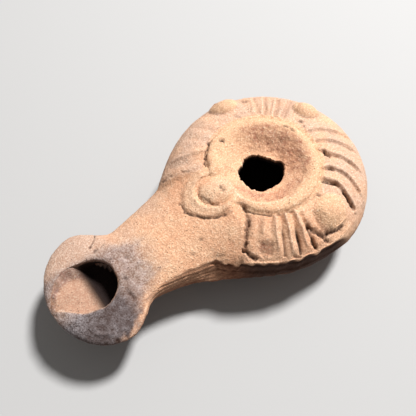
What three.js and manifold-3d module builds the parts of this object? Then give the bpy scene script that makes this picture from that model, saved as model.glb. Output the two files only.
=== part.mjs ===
// A mould-made pottery oil lamp: a round reservoir with a dished, pierced disc on top, ribs and
// bosses round its shoulder, and a neck that ends in a broad nozzle with a tapering wick hole.
// Millimetres, +Z up. The origin is the centre of the flat base, and the nozzle points along +X.

import * as THREE from 'three';
import { mergeGeometries, mergeVertices } from 'three/addons/utils/BufferGeometryUtils.js';
import Module from 'manifold-3d';

const wasm = await Module();
wasm.setup();

const { degToRad, clamp, lerp, smoothstep } = THREE.MathUtils;

// Body: the seam is the widest line, where the two moulded halves were joined
const bodyRadius = 30;
const bodySetBack = 2.5; // the seam's circle sits this far behind the base and the disc
const seamHeight = 15;
const seamBead = 0.35; // how far the join stands out
const seamDrop = 1.2; // the bead dies out this far below the seam
const wall = 3.2;

// Foot and bowl
const baseRadius = 15;
const footHeight = 1.3;
const footFlare = 1.2;
const bowlTaper = 1.9; // 1 is a plain quarter ellipse, more draws the bowl in faster

// Disc with its rim and filling hole
const rimFootRadius = 16.8;
const rimFootHeight = 25.8;
const rimWidth = 3.6;
const rimRise = 1.2; // crest above the rim's foot
const rimGapStart = 22; // towards the neck the crest dies out between these angles, in degrees
const rimGapEnd = 34;
const rimInnerDrop = 0.9; // from the crest to where the dish begins
const discDepth = 4.6; // floor of the dish below the rim's crest
const discWall = 2.8;
const fillHoleRadius = 6.4;
const fillHoleOffset = 0.4; // off the disc's centre, both ways

// Neck, as half widths and heights along +X
const rootX = 32; // here the body's skin passes into the neck's
const rootBlend = 11; // how softly the body's circle runs into the neck's sides
const blendStartX = -10; // the blend grows from here
const blendFullX = 12;
const rootKeel = 5.6;
const neckTaper = 0.235;
const waistX = 45;
const waistHalfWidth = 11.9;
const waistCrown = 19.4;
const waistKeel = 7.2;

// Nozzle
const nozzleX = 55.5; // its widest line
const nozzleHalfWidth = 17.4;
const nozzleReach = 14.5; // from the widest line to the tip
const nozzleShift = -0.9; // the nozzle leans a little to one side
const nozzleCrown = 19.2;
const nozzleEdge = 15.2;
const nozzleKeel = 8;
const tipHeight = 15.6;

// Wick hole and the channel behind it
const wickHoleX = 57.8;
const wickHoleRadius = 7.2;
const wickFarBulge = 1; // the far side is this much fuller
const wickRun = 11.6; // from the round part's centre to the pointed end
const wickEndHeight = 17.2;
const channelHalfWidth = 8.2;
const channelWall = 2.8; // above and below the channel

// Relief
const ribDepth = 1.2;
const bossHeight = 2.1;
const archHeight = 1;

// Mesh fineness
const plainPitch = 3; // degrees between spokes where there is no rib
const ribSteps = 4; // across one rib
const neckSteps = 20; // across the neck, above and again below
const shoulderSteps = 9;

const tipX = nozzleX + nozzleReach;
const crestRadius = rimFootRadius - rimWidth / 2;
const rimInnerRadius = rimFootRadius - rimWidth;
const crestHeight = rimFootHeight + rimRise;
const discFloor = crestHeight - discDepth;

// Grooves between the ribs, in degrees at the seam. Each lies sweep degrees further round at the rim.
// The first one bounds the neck, and so does the last of the last group.
const grooveGroups = [
  { from: 39.5, to: 39.5, count: 1, sweep: -6.5 },
  { from: 63.5, to: 82.5, count: 3, sweep: 1.5 },
  { from: 117, to: 168, count: 5, sweep: 10 },
  { from: 212, to: 246, count: 5, sweep: 0 },
  { from: 275, to: 328.5, count: 5, sweep: 1 },
];

// Domed bosses in the spaces between the groups
const bosses = [
  { angle: 104, radius: 22.8, across: 5, along: 4.4 },
  { angle: 199, radius: 25, across: 4.3, along: 4 },
  { angle: 260, radius: 25, across: 4.7, along: 4.1 },
];

// A skin over closed rows of points, with a pole at either end where one is given.
// A row may have half or twice as many points as the one before.
function skin(rows, startPole, endPole) {
  const points = rows.flat();
  const triangles = [];
  const first = [];
  let next = 0;
  for (const row of rows) {
    first.push(next);
    next += row.length;
  }
  const at = (row, i) => first[row] + (i % rows[row].length);
  for (let row = 0; row + 1 < rows.length; row++) {
    const below = rows[row].length;
    const above = rows[row + 1].length;
    for (let i = 0; i < Math.min(below, above); i++) {
      if (below === above) {
        triangles.push(at(row, i), at(row, i + 1), at(row + 1, i + 1));
        triangles.push(at(row, i), at(row + 1, i + 1), at(row + 1, i));
      } else if (below > above) {
        triangles.push(at(row, 2 * i), at(row, 2 * i + 1), at(row + 1, i));
        triangles.push(at(row, 2 * i + 1), at(row + 1, i + 1), at(row + 1, i));
        triangles.push(at(row, 2 * i + 1), at(row, 2 * i + 2), at(row + 1, i + 1));
      } else {
        triangles.push(at(row, i), at(row + 1, 2 * i + 1), at(row + 1, 2 * i));
        triangles.push(at(row, i), at(row, i + 1), at(row + 1, 2 * i + 1));
        triangles.push(at(row, i + 1), at(row + 1, 2 * i + 2), at(row + 1, 2 * i + 1));
      }
    }
  }
  if (startPole) {
    const pole = points.push(startPole) - 1;
    for (let i = 0; i < rows[0].length; i++) triangles.push(pole, at(0, i + 1), at(0, i));
  }
  if (endPole) {
    const pole = points.push(endPole) - 1;
    const last = rows.length - 1;
    for (let i = 0; i < rows[last].length; i++) triangles.push(pole, at(last, i), at(last, i + 1));
  }
  const geometry = new THREE.BufferGeometry().setFromPoints(points);
  geometry.setIndex(triangles);
  return geometry;
}

function ringOf(count, pointAt) {
  return Array.from({ length: count }, (_, i) => pointAt((2 * Math.PI * i) / count));
}

function solidFrom(geometry) {
  geometry.deleteAttribute('normal');
  geometry.deleteAttribute('uv');
  const merged = mergeVertices(geometry, 1e-4);
  return new wasm.Manifold(new wasm.Mesh({
    numProp: 3,
    vertProperties: new Float32Array(merged.attributes.position.array),
    triVerts: new Uint32Array(merged.index.array),
  }));
}

function geometryFrom(solid) {
  const mesh = solid.getMesh();
  const geometry = new THREE.BufferGeometry();
  geometry.setAttribute('position', new THREE.BufferAttribute(mesh.vertProperties, 3));
  geometry.setIndex(new THREE.BufferAttribute(mesh.triVerts, 1));
  geometry.computeVertexNormals();
  return geometry;
}

// Half width of the plan outline
function halfWidth(x) {
  if (x >= nozzleX) return nozzleHalfWidth * Math.sqrt(Math.max(0, 1 - ((x - nozzleX) / nozzleReach) ** 2));
  if (x >= waistX) return lerp(waistHalfWidth, nozzleHalfWidth, smoothstep(x, waistX, nozzleX));
  const circle = Math.sqrt(Math.max(0, bodyRadius ** 2 - (x + bodySetBack) ** 2));
  if (x <= blendStartX + 1) return circle;
  const blend = rootBlend * smoothstep(x, blendStartX, blendFullX);
  const neck = waistHalfWidth + neckTaper * (waistX - x);
  const share = clamp(0.5 + (circle - neck) / (2 * blend), 0, 1);
  return lerp(neck, circle, share) + blend * share * (1 - share);
}

// The outline's point in a direction from the disc's centre, for directions clear of the nozzle
function outlineAt(angle) {
  let inner = rimFootRadius;
  let outer = 2 * bodyRadius;
  for (let i = 0; i < 30; i++) {
    const r = (inner + outer) / 2;
    const x = r * Math.cos(angle);
    const clearOfNozzle = x > -bodyRadius - bodySetBack && x < rootX + 1;
    const inside = clearOfNozzle && Math.abs(r * Math.sin(angle)) < halfWidth(x);
    if (inside) inner = r;
    else outer = r;
  }
  return new THREE.Vector2(inner * Math.cos(angle), inner * Math.sin(angle));
}

// Heights of the neck and nozzle: along the middle above, along the edge, and along the middle below
function neckHeights(x) {
  const inset = Math.max(0, 1 - (Math.max(0, x - nozzleX) / nozzleReach) ** 2);
  const alongNeck = clamp((x - rimFootRadius) / (waistX - rimFootRadius), 0, 1);
  const ontoNozzle = smoothstep(x, waistX, nozzleX);
  const neckCrown = waistCrown + (rimFootHeight - waistCrown) * (1 - alongNeck) ** 1.6;
  const neckKeel = lerp(rootKeel, waistKeel, smoothstep(x, rootX, waistX));
  const crown = lerp(neckCrown, nozzleCrown, ontoNozzle);
  const edge = lerp(seamHeight, nozzleEdge, smoothstep(x, rootX, nozzleX));
  const keel = lerp(neckKeel, nozzleKeel, ontoNozzle);
  return {
    crown: lerp(tipHeight, crown, inset ** 0.3),
    edge: lerp(tipHeight, edge, inset ** 0.5),
    keel: lerp(tipHeight, keel, inset ** 0.5),
  };
}

// Height of the neck's top, across being 0 on the middle line and 1 at the edge
function neckTop(x, across) {
  const { crown, edge } = neckHeights(x);
  return lerp(edge, crown, Math.max(0, 1 - Math.abs(across) ** 2.5) ** 0.7);
}

function neckUnderside(x, across) {
  const { edge, keel } = neckHeights(x);
  return lerp(edge, keel, Math.max(0, 1 - Math.abs(across) ** 2.1) ** 0.6);
}

// Half a section across the neck or nozzle, from the -Y edge to the +Y edge
function halfSection(x, heightAt) {
  const middle = nozzleShift * smoothstep(x, rootX, nozzleX);
  return Array.from({ length: neckSteps + 1 }, (_, i) => {
    const across = -Math.cos((Math.PI * i) / neckSteps);
    const bead = i === 0 || i === neckSteps ? seamBead : 0;
    const y = middle + across * (halfWidth(x) + bead);
    return new THREE.Vector3(x, y, heightAt(x, across));
  });
}

// One spoke runs from the rim's foot to the outline, or to the neck's root. It keeps its angle at the rim,
// its outer ends on the upper and lower skin, how far it belongs to the neck above and below, and the
// rib's height on it. The neck's top reaches as far round as the grooves that bound it.
function spokesRound() {
  const upper = halfSection(rootX, neckTop);
  const lower = halfSection(rootX, neckUnderside);
  const spokes = upper.map((end, i) => ({
    rimAngle: Math.atan2(end.y, end.x),
    upperEnd: end,
    lowerEnd: lower[i],
    onNeck: 1,
    underNeck: smoothstep(Math.sin((Math.PI * i) / neckSteps), 0, 0.4),
    lift: 0,
  }));
  const edgeAngle = THREE.MathUtils.radToDeg(spokes[neckSteps].rimAngle);
  const marks = [{ seam: edgeAngle, sweep: 0, group: -1 }];
  grooveGroups.forEach(({ from, to, count, sweep }, group) => {
    for (let i = 0; i < count; i++) {
      marks.push({ seam: lerp(from, to, count > 1 ? i / (count - 1) : 0), sweep, group });
    }
  });
  marks.push({ seam: 360 - edgeAngle, sweep: 0, group: -1 });
  const valley = -0.7 * ribDepth;
  for (let m = 0; m + 1 < marks.length; m++) {
    const [a, b] = [marks[m], marks[m + 1]];
    const isRib = a.group === b.group;
    const steps = isRib ? ribSteps : 2 * Math.ceil((b.seam - a.seam) / (2 * plainPitch));
    for (let i = 1; i <= steps; i++) {
      const t = i / steps;
      if (b.group < 0 && i === steps) break;
      const seamAngle = lerp(a.seam, b.seam, t);
      const fromA = a.group < 0 ? 1 : smoothstep(seamAngle - a.seam, 0, 3);
      const fromB = b.group < 0 ? 1 : smoothstep(b.seam - seamAngle, 0, 3);
      const plan = outlineAt(degToRad(seamAngle));
      const out = plan.clone().setLength(plan.length() + seamBead);
      const end = new THREE.Vector3(out.x, out.y, seamHeight);
      spokes.push({
        rimAngle: degToRad(seamAngle + lerp(a.sweep, b.sweep, t)),
        upperEnd: end,
        lowerEnd: end,
        onNeck: (a.group < 0 && t < 1) || b.group < 0 ? 1 : 0,
        underNeck: 0,
        lift: isRib ? valley + ribDepth * Math.sin(Math.PI * t) ** 0.6 : valley * (1 - fromA * fromB),
      });
    }
  }
  return spokes;
}

// A point of the shoulder. Its section is a quarter ellipse from the rim's foot, where share is 0,
// to the seam, where it is 1; over the neck's root it passes into the neck's top.
function shoulderPoint({ rimAngle, upperEnd, onNeck, lift }, share) {
  const turn = (share * Math.PI) / 2;
  const foot = new THREE.Vector2(rimFootRadius * Math.cos(rimAngle), rimFootRadius * Math.sin(rimAngle));
  const plan = foot.clone().lerp(new THREE.Vector2(upperEnd.x, upperEnd.y), Math.sin(turn));
  const ellipse = lerp(upperEnd.z, rimFootHeight, Math.cos(turn));
  const z = share > 0 ? lerp(ellipse, neckTop(plan.x, plan.y / halfWidth(plan.x)), onNeck) : rimFootHeight;
  const fade = smoothstep(share, 0, 0.25) * (1 - smoothstep(share, 0.88, 1));
  const slope = new THREE.Vector2(Math.sin(turn), Math.cos(turn)).multiplyScalar(lift * fade);
  const outward = new THREE.Vector2(upperEnd.x, upperEnd.y).normalize();
  return new THREE.Vector3(plan.x + outward.x * slope.x, plan.y + outward.y * slope.x, z + slope.y);
}

// A point of the bowl, from the foot, where share is 0, to the seam
function bowlPoint({ lowerEnd, underNeck }, share) {
  const turn = (share * Math.PI) / 2;
  const direction = new THREE.Vector2(lowerEnd.x, lowerEnd.y).normalize();
  const foot = direction.clone().multiplyScalar(baseRadius + footFlare);
  const reach = Math.sin(turn) ** bowlTaper;
  const plan = foot.lerp(new THREE.Vector2(lowerEnd.x, lowerEnd.y), reach);
  const ellipse = lerp(lowerEnd.z, footHeight, Math.cos(turn));
  const rising = lerp(footHeight, lowerEnd.z, 1 - (1 - reach) ** 1.6);
  return new THREE.Vector3(plan.x, plan.y, lerp(ellipse, rising, underNeck));
}

// The whole outside: bowl, shoulder, rim and dish as rows round the disc, then the neck and nozzle
function outerSkin() {
  const spokes = spokesRound();
  const everyOther = spokes.filter((_, i) => i % 2 === 0);
  const circle = (r, z) => everyOther.map(({ rimAngle }) => new THREE.Vector3(
    r * Math.cos(rimAngle), r * Math.sin(rimAngle), z));

  const below = [circle(baseRadius, 0), circle(baseRadius + footFlare / 2, footHeight)];
  const bowlSteps = 6;
  for (let i = 1; i < bowlSteps; i++) below.push(everyOther.map((spoke) => bowlPoint(spoke, i / bowlSteps)));
  below.push(everyOther.map(({ lowerEnd, underNeck }) => {
    const atSeam = new THREE.Vector2(lowerEnd.x, lowerEnd.y);
    atSeam.setLength(atSeam.length() - seamBead * (1 - underNeck));
    return new THREE.Vector3(atSeam.x, atSeam.y, lowerEnd.z - seamDrop * (1 - underNeck));
  }));
  below.push(spokes.map(({ lowerEnd }) => lowerEnd));

  const above = [spokes.map(({ upperEnd }) => upperEnd)];
  for (let i = shoulderSteps - 1; i >= 0; i--) {
    above.push(spokes.map((spoke) => shoulderPoint(spoke, i / shoulderSteps)));
  }
  const rimSteps = 4;
  for (let i = 1; i < rimSteps; i++) {
    const turn = (i / rimSteps) * Math.PI;
    const drop = (turn < Math.PI / 2 ? rimRise : rimInnerDrop) * (1 - Math.sin(turn));
    const withoutCrest = lerp(rimFootHeight, crestHeight - rimInnerDrop, i / rimSteps);
    above.push(circle(crestRadius + (rimWidth / 2) * Math.cos(turn), crestHeight - drop).map((p) => {
      const fromNeck = Math.abs(THREE.MathUtils.radToDeg(Math.atan2(p.y, p.x)));
      return p.setZ(lerp(withoutCrest, p.z, smoothstep(fromNeck, rimGapStart, rimGapEnd)));
    }));
  }
  const dishSteps = 4;
  for (let i = 0; i < dishSteps; i++) {
    const inward = i / dishSteps;
    const drop = rimInnerDrop + (discDepth - rimInnerDrop) * (1 - (1 - inward) ** 1.7);
    above.push(circle(lerp(rimInnerRadius, fillHoleRadius * 0.7, inward), crestHeight - drop));
  }

  const stations = [];
  const neckRows = 15;
  for (let i = 0; i <= neckRows; i++) stations.push(lerp(rootX, nozzleX, i / neckRows));
  const tipRows = 8;
  for (let i = 1; i < tipRows; i++) {
    stations.push(nozzleX + nozzleReach * Math.sin((i / tipRows) * (Math.PI / 2)));
  }
  const along = stations.map((x) => [
    ...halfSection(x, neckTop).reverse(),
    ...halfSection(x, neckUnderside).slice(1, -1),
  ]);
  return solidFrom(mergeGeometries([
    skin(below, new THREE.Vector3(0, 0, 0), null),
    skin(above, null, new THREE.Vector3(0, 0, discFloor)),
    skin(along, null, new THREE.Vector3(tipX, nozzleShift, tipHeight)),
  ]));
}

// Low domes set into the shoulder
function shoulderBosses() {
  return bosses.map(({ angle, radius, across, along }) => {
    const direction = degToRad(angle);
    const end = outlineAt(direction);
    const outward = (radius - rimFootRadius) / (end.length() - rimFootRadius);
    const z = seamHeight + (rimFootHeight - seamHeight) * Math.sqrt(1 - outward ** 2);
    const slope = Math.atan2((rimFootHeight - seamHeight) * outward,
      (end.length() - rimFootRadius) * Math.sqrt(1 - outward ** 2));
    return dome(radius * Math.cos(direction), radius * Math.sin(direction), z - 0.4,
      across, along, bossHeight + 0.4, slope, direction);
  });
}

function dome(x, y, z, across, along, height, tilt, turn) {
  const shape = new THREE.SphereGeometry(1, 18, 10);
  shape.rotateX(Math.PI / 2);
  shape.scale(along, across, height);
  shape.rotateY(tilt);
  shape.rotateZ(turn);
  shape.translate(x, y, z);
  return solidFrom(shape);
}

// On the neck's root, an oval boss and a crescent round it with its horns against the rim
const rootBoss = { x: 16.4, y: -0.9, reach: 4.2, halfWidth: 4.5, sunk: 0.4, tilt: 0.12 };
const crescentOuter = { x: 18.1, y: -1.8, reach: 7.9, halfWidth: 7.4 };
const crescentInner = { x: 16.5, y: -1, reach: 4.9, halfWidth: 5.2 };
const crescentHalfTurn = degToRad(118);

function rootOrnament() {
  const surface = (x, y) => neckTop(x, y / halfWidth(x));
  const boss = dome(rootBoss.x, rootBoss.y, surface(rootBoss.x, rootBoss.y) - rootBoss.sunk,
    rootBoss.halfWidth, rootBoss.reach, archHeight + rootBoss.sunk, rootBoss.tilt, 0);
  const rows = [];
  const steps = 20;
  for (let i = 0; i <= steps; i++) {
    const a = lerp(-crescentHalfTurn, crescentHalfTurn, i / steps);
    const onOval = (oval) => new THREE.Vector2(
      oval.x + oval.reach * Math.cos(a), oval.y + oval.halfWidth * Math.sin(a));
    const [inner, outer] = [onOval(crescentInner), onOval(crescentOuter)];
    const point = (share, lift) => {
      const p = inner.clone().lerp(outer, share);
      return new THREE.Vector3(p.x, p.y, surface(p.x, p.y) + lift);
    };
    rows.push([
      point(0, -0.8), point(0, 0.1), point(0.3, 0.8 * archHeight),
      point(0.7, archHeight), point(0.95, 0.6 * archHeight), point(1, -0.8),
    ]);
  }
  const middleOf = (row) => row.reduce((sum, p) => sum.add(p), new THREE.Vector3()).divideScalar(row.length);
  return [boss, solidFrom(skin(rows, middleOf(rows[0]), middleOf(rows[steps])))];
}

function reservoir() {
  const sides = 36;
  const flat = (r, z, back) => ringOf(sides, (a) => new THREE.Vector3(
    -back + r * Math.cos(a), r * Math.sin(a), z));
  const rows = [flat(baseRadius - wall, wall, 0)];
  const bowlSteps = 5;
  for (let i = 1; i <= bowlSteps; i++) {
    const turn = (i / bowlSteps) * (Math.PI / 2);
    rows.push(flat(lerp(baseRadius, bodyRadius - wall, Math.sin(turn) ** bowlTaper),
      lerp(seamHeight, wall + footHeight * 0.5, Math.cos(turn)), bodySetBack * Math.sin(turn)));
  }
  const ceiling = rimFootHeight - wall;
  for (let i = 1; i < bowlSteps; i++) {
    const turn = (i / bowlSteps) * (Math.PI / 2);
    rows.push(flat(lerp(rimFootRadius, bodyRadius - wall, Math.cos(turn)),
      lerp(seamHeight, ceiling, Math.sin(turn)), bodySetBack * Math.cos(turn)));
  }
  const discUnderside = discFloor - discWall;
  rows.push(flat(rimFootRadius - wall * 0.5, ceiling, 0));
  rows.push(flat(fillHoleRadius + 3, discUnderside, 0));
  return solidFrom(skin(rows, new THREE.Vector3(0, 0, wall), new THREE.Vector3(0, 0, discUnderside)));
}

// The channel through the neck, from the reservoir to under the wick hole
function channel() {
  const start = rimFootRadius;
  const end = wickHoleX;
  const sides = 16;
  const steps = 12;
  const rows = [];
  for (let i = 0; i <= steps; i++) {
    const x = lerp(start, end, i / steps);
    const { crown, keel } = neckHeights(x);
    const rounding = Math.sqrt(1 - smoothstep(x, end - wickHoleRadius / 2, end + 1));
    const width = Math.min(halfWidth(x) - wall, channelHalfWidth) * rounding;
    const floor = keel + channelWall;
    const roof = Math.min(crown, rimFootHeight - 1) - channelWall;
    const middle = (floor + roof) / 2;
    const rise = ((roof - floor) / 2) * rounding;
    rows.push(ringOf(sides, (a) => new THREE.Vector3(x, width * Math.cos(a), middle + rise * Math.sin(a))));
  }
  const middleOf = (row) => row.reduce((sum, p) => sum.add(p), new THREE.Vector3()).divideScalar(row.length);
  return solidFrom(skin(rows, middleOf(rows[0]), middleOf(rows[steps])));
}

// The filling hole was broken through by hand, so its edge is ragged, with one side left fuller
const raggedWaves = [
  { height: 0.22, around: 3, turn: 0.4 },
  { height: 0.16, around: 8, turn: 0 },
  { height: 0.12, around: 13, turn: 1 },
];
const fullerSide = { angle: degToRad(214), depth: 0.8, spread: 0.35 };

function fillingHole() {
  const outline = ringOf(44, (a) => {
    const waves = raggedWaves.map((wave) => wave.height * Math.sin(wave.around * a + wave.turn));
    const ragged = waves.reduce((sum, height) => sum + height, 0);
    const lip = fullerSide.depth * Math.exp(-(((a - fullerSide.angle) / fullerSide.spread) ** 2));
    const r = fillHoleRadius + ragged - lip;
    return new THREE.Vector2(fillHoleOffset + r * Math.cos(a), fillHoleOffset + r * Math.sin(a));
  });
  const cut = new THREE.ExtrudeGeometry(new THREE.Shape(outline), {
    depth: crestHeight - seamHeight, bevelEnabled: false,
  });
  cut.translate(0, 0, seamHeight);
  return solidFrom(cut);
}

// The wick hole is round towards the body, straight on the near side and fuller on the far side,
// and drawn out to a point at the tip, where its floor climbs to the surface
function wickHole() {
  const count = 36;
  const outline = ringOf(count, (a) => {
    const x = Math.cos(a) >= 0 ? wickRun * Math.cos(a) ** 1.3 : wickHoleRadius * Math.cos(a);
    const forward = clamp(x / wickRun, 0, 1);
    if (x < 0) return new THREE.Vector2(x, wickHoleRadius * Math.sin(a));
    const near = wickHoleRadius * (1 - forward);
    const far = -(wickHoleRadius + wickFarBulge * smoothstep(forward, 0, 0.4)) * (1 - forward ** 2.8) ** 0.8;
    return new THREE.Vector2(x, a < Math.PI ? near : far);
  });
  const { keel } = neckHeights(wickHoleX);
  const floorAt = (p) => lerp(keel + channelWall, wickEndHeight, clamp(p.x / wickRun, 0, 1) ** 1.3);
  const row = (scale, heightAt) => outline.map((p) => {
    const q = p.clone().multiplyScalar(scale);
    return new THREE.Vector3(wickHoleX + q.x, nozzleShift + q.y, heightAt(q));
  });
  const top = nozzleCrown + 2;
  const rows = [row(0.5, floorAt), row(0.93, floorAt), row(1, (p) => floorAt(p) + 0.8), row(1, () => top)];
  return solidFrom(skin(rows,
    new THREE.Vector3(wickHoleX, nozzleShift, floorAt(new THREE.Vector2())),
    new THREE.Vector3(wickHoleX, nozzleShift, top)));
}

let outside = outerSkin();
for (const raised of [...shoulderBosses(), ...rootOrnament()]) outside = outside.add(raised);
const lampSolid = outside.subtract(reservoir().add(channel())).subtract(fillingHole()).subtract(wickHole());

const firedClay = new THREE.MeshStandardMaterial({ color: 0xc98d66, roughness: 0.85, metalness: 0 });
const lamp = new THREE.Mesh(geometryFrom(lampSolid), firedClay);
lamp.name = 'lamp';

const group = new THREE.Group();
group.add(lamp);
export default group;
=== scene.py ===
import math
import bpy
import bmesh
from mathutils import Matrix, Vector, noise


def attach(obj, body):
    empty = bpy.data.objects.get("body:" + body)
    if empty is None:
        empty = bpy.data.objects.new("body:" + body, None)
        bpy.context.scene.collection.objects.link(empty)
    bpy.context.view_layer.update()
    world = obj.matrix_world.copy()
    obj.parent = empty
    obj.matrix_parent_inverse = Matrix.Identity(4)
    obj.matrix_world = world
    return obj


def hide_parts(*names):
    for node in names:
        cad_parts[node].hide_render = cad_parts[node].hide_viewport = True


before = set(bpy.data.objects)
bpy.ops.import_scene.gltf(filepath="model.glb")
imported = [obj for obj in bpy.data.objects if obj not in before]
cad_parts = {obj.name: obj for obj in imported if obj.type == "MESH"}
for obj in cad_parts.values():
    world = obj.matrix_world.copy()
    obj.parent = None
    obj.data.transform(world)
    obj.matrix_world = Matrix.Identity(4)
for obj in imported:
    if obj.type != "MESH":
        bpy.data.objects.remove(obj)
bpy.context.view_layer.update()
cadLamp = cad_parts["lamp"]
scene = bpy.context.scene
print("frame loaded")


def clamp(value, low=0.0, high=1.0):
    return max(low, min(high, value))


def mix(a, b, t):
    return a + (b - a) * t


def ease(value, low, high):
    t = clamp((value - low) / (high - low))
    return t * t * (3 - 2 * t)


# reads a line of (place, value) pairs, softly from each to the next
def along(line, place):
    for (p0, v0), (p1, v1) in zip(line, line[1:]):
        if place <= p1:
            return mix(v0, v1, ease(place, p0, p1))
    return line[-1][1]


def fromPolar(degrees, r):
    a = math.radians(degrees)
    return r * math.cos(a), r * math.sin(a)


# 1 within a sector of the disc round its middle angle, fading to 0 between two cosines
def facing(degrees, middle, low, high):
    return ease(math.cos(math.radians(degrees - middle)), low, high)


def polarOf(x, y):
    return math.hypot(x, y), math.degrees(math.atan2(y, x)) % 360


def bell(value, middle, width):
    return math.exp(-(((value - middle) / width) ** 2))


# places and sizes are in millimetres, with the nozzle along +X and the near side at +Y
form = {
    "bodyRadius": 30, "setBack": 2.5, "seamHeight": 15,
    "roundUntil": -9, "blendOver": (-10, 12),  # a plain circle behind, then a soft way to the neck
    "flatterNear": {"by": 0.6, "angle": 72, "span": (0.5, 0.9), "fall": 0.7, "power": 1.4},
    "rimFootRadius": 16.8, "rimFootHeight": 25.8, "rimWidth": 3.6, "crestHeight": 27,
    "dishFloor": 22.6, "dishMiddle": 5, "dishPower": 0.9, "crestPower": 2.2, "rimGap": (15, 31),
    "rootX": 32, "rootBlend": 11, "neckTaper": 0.235,
    "waistX": 45, "waistHalfWidth": 11.9, "waistCrown": 19.4,
    "nozzleX": 55.5, "nozzleHalfWidth": 17.4, "nozzleReach": 14.5, "nozzleShift": -0.9,
    "nozzleCrown": 19.2, "nozzleEdge": 15.2, "tipHeight": 15.6,
    "crownFall": 1.6, "tipRound": 0.3, "edgeRound": 0.5, "section": (2.5, 0.7),
    # edges of the neck's top as angles at the rim and at the seam, and how softly each side ends
    "plateNear": (33, 39.5), "plateBend": 0.35, "plateFar": (331, 328.5), "plateSoft": (0.6, 2.2),
    # the rim's foot and its inner step as (degrees, distance from the disc's middle)
    "rimFoot": [(0, 15.2), (27, 15.2), (45, 15.9), (60, 16.2), (95, 16.2), (142, 15.8), (232, 15.9),
                (297, 16.8), (314, 16.5), (330, 15.9), (360, 15.2)],
    "rimStep": [(10, 12.2), (30, 13.0), (54, 12.8), (90, 12.5)],
    "step": {"angle": 48, "span": (0.62, 0.88), "foot": 25.6, "width": 0.8, "below": 0.1, "fade": 1.6},
}


def halfWidth(x):
    f = form
    if x >= f["nozzleX"]:
        return f["nozzleHalfWidth"] * math.sqrt(max(0, 1 - ((x - f["nozzleX"]) / f["nozzleReach"]) ** 2))
    if x >= f["waistX"]:
        return mix(f["waistHalfWidth"], f["nozzleHalfWidth"], ease(x, f["waistX"], f["nozzleX"]))
    circle = math.sqrt(max(0, f["bodyRadius"] ** 2 - (x + f["setBack"]) ** 2))
    if x <= f["roundUntil"]:
        return circle
    soft = f["rootBlend"] * ease(x, *f["blendOver"])
    neck = f["waistHalfWidth"] + f["neckTaper"] * (f["waistX"] - x)
    share = clamp(0.5 + (circle - neck) / (2 * soft))
    return mix(neck, circle, share) + soft * share * (1 - share)


# how far the outline lies from the disc's middle, found by halving
def outlineRadius(angle):
    back = -form["bodyRadius"] - form["setBack"]
    low, high = form["rimFootRadius"], 2 * form["bodyRadius"]
    for _ in range(24):
        r = (low + high) / 2
        x = r * math.cos(angle)
        inside = back < x < form["rootX"] + 1 and abs(r * math.sin(angle)) < halfWidth(x)
        low, high = (r, high) if inside else (low, r)
    return low


outlineTable = [outlineRadius(math.radians(d)) for d in range(361)]


def outlineAt(degrees):
    d = degrees % 360
    i = int(d)
    return mix(outlineTable[i], outlineTable[i + 1], d - i)


def neckTop(x, y):
    f = form
    inset = max(0, 1 - (max(0, x - f["nozzleX"]) / f["nozzleReach"]) ** 2)
    toWaist = clamp((x - f["rimFootRadius"]) / (f["waistX"] - f["rimFootRadius"]))
    onto = ease(x, f["waistX"], f["nozzleX"])
    crown = f["waistCrown"] + (f["rimFootHeight"] - f["waistCrown"]) * (1 - toWaist) ** f["crownFall"]
    crown = mix(f["tipHeight"], mix(crown, f["nozzleCrown"], onto), inset ** f["tipRound"])
    edge = mix(f["seamHeight"], f["nozzleEdge"], ease(x, f["rootX"], f["nozzleX"]))
    edge = mix(f["tipHeight"], edge, inset ** f["edgeRound"])
    middle = f["nozzleShift"] * ease(x, f["rootX"], f["nozzleX"])
    across = min(1, abs(y - middle) / max(halfWidth(x), 0.1))
    return mix(edge, crown, (1 - across ** f["section"][0]) ** f["section"][1])


footTable = [along(form["rimFoot"], d) for d in range(361)]


def rimFoot(degrees):
    return footTable[int(degrees % 360)]


# section of the rim and the dish: a plain hollow slope, with a step inside the rim on the near side
def rimHeight(r, degrees):
    f = form
    foot = rimFoot(degrees)
    crest = foot - f["rimWidth"] / 2
    fromNeck = abs((degrees + 180) % 360 - 180)
    top = mix(f["rimFootHeight"], f["crestHeight"], ease(fromNeck, *f["rimGap"]))
    if r >= crest:
        out = (r - crest) / (foot - crest)
        return mix(f["rimFootHeight"], top, math.sqrt(max(0, 1 - out ** f["crestPower"])))
    plain = mix(f["dishFloor"], top, ease(r, f["dishMiddle"], crest) ** f["dishPower"])
    step = f["step"]
    near = facing(degrees, step["angle"], *step["span"])
    if near == 0:
        return plain
    edge = along(f["rimStep"], degrees)
    stepped = mix(f["dishFloor"], step["foot"], ease(r, f["dishMiddle"], edge + step["width"] / 2))
    above = top - step["below"] * ease(crest - r, 0, step["fade"])
    stepped = mix(stepped, above, ease(r, edge, edge + step["width"]))
    return mix(plain, stepped, near)


# how far a place lies inside the neck's top, across the lines that bound it
def insidePlate(r, degrees, share):
    near = mix(*form["plateNear"], ease(share, 0, form["plateBend"]))
    far = mix(*form["plateFar"], share)
    turned = degrees if degrees < 180 else degrees - 360
    return math.radians(min(near - turned, turned - far + 360)) * r


# where a point of the top lies: distance from the disc's middle, angle, and share of the way to the seam
def placeOf(x, y):
    r, degrees = polarOf(x, y)
    foot = rimFoot(degrees)
    return r, degrees, clamp((r - foot) / (outlineAt(degrees) - foot))


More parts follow.
